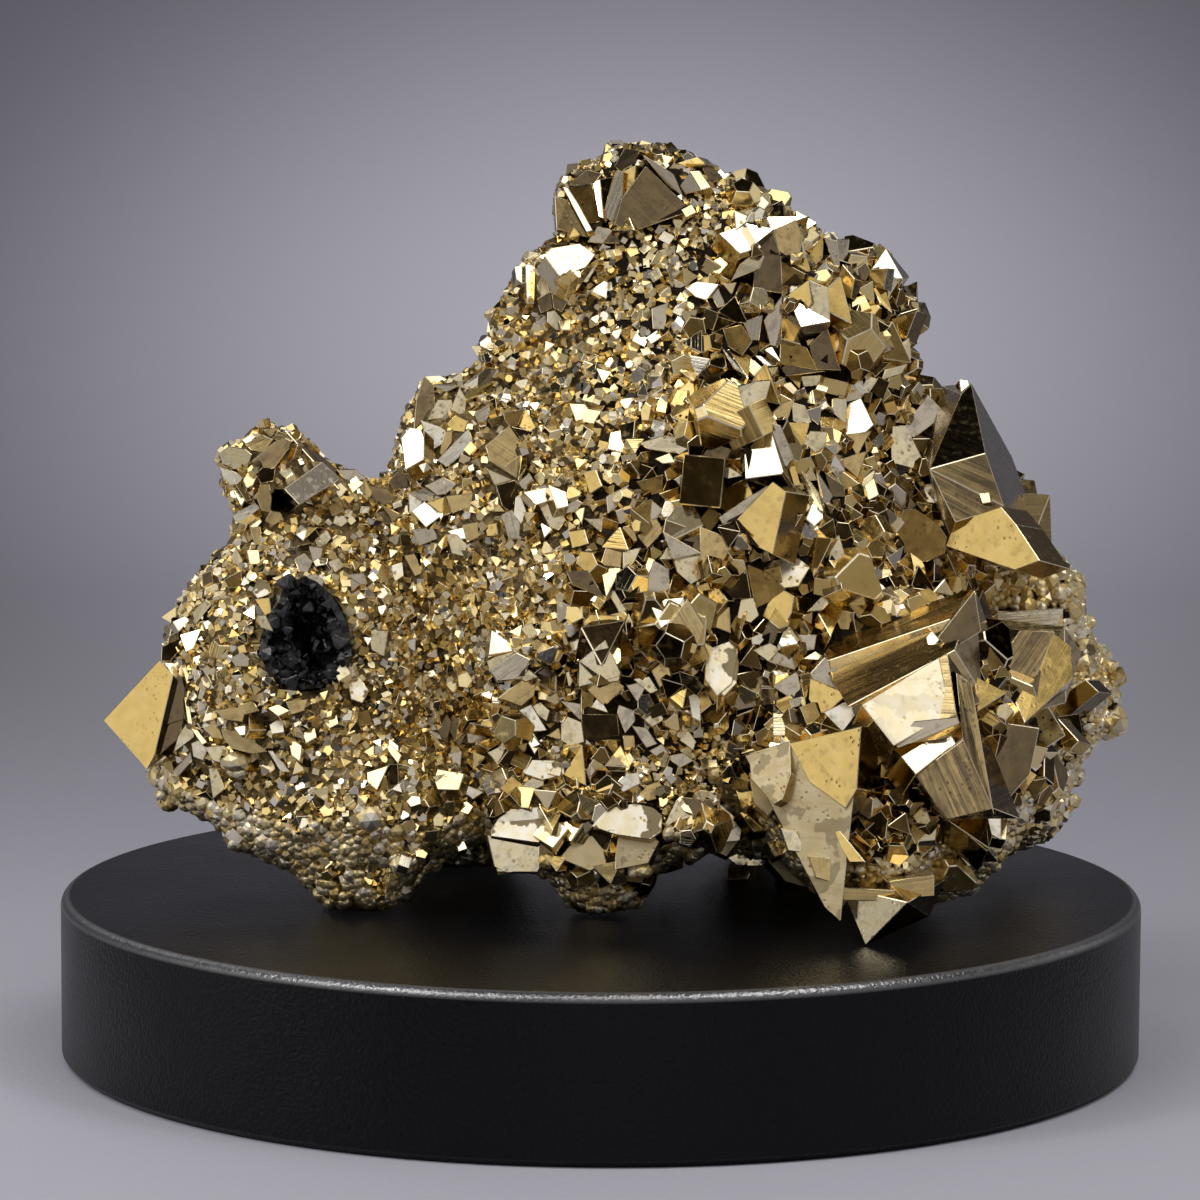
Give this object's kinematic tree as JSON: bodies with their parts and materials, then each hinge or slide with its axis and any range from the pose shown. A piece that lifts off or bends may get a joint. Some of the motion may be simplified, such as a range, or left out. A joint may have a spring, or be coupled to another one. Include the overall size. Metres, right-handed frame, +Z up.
{
  "type": "pyrite specimen",
  "caption": "Natural pyrite cluster with cubic and octahedral crystals and a dark-lined hollow, standing on a round black display base.",
  "frame": {"origin": "middle of the stand's underside", "axes": "+Z up, -Y towards the viewer of the picture, +X to the viewer's right"},
  "size_m": [0.16, 0.16, 0.1342],
  "materials": {
    "pyrite": "bright metallic crystal faces, pale brass-yellow, with striated, pitted and tarnished patches",
    "dark_quartz": "dark grey, half-clear small crystals",
    "powder_coat": "matte black with a fine pebbled grain"
  },
  "bodies": {
    "root": {"pyrite_cluster": "pyrite", "cavity_crust": "dark_quartz", "stand": "powder_coat"}
  },
  "joints": []
}
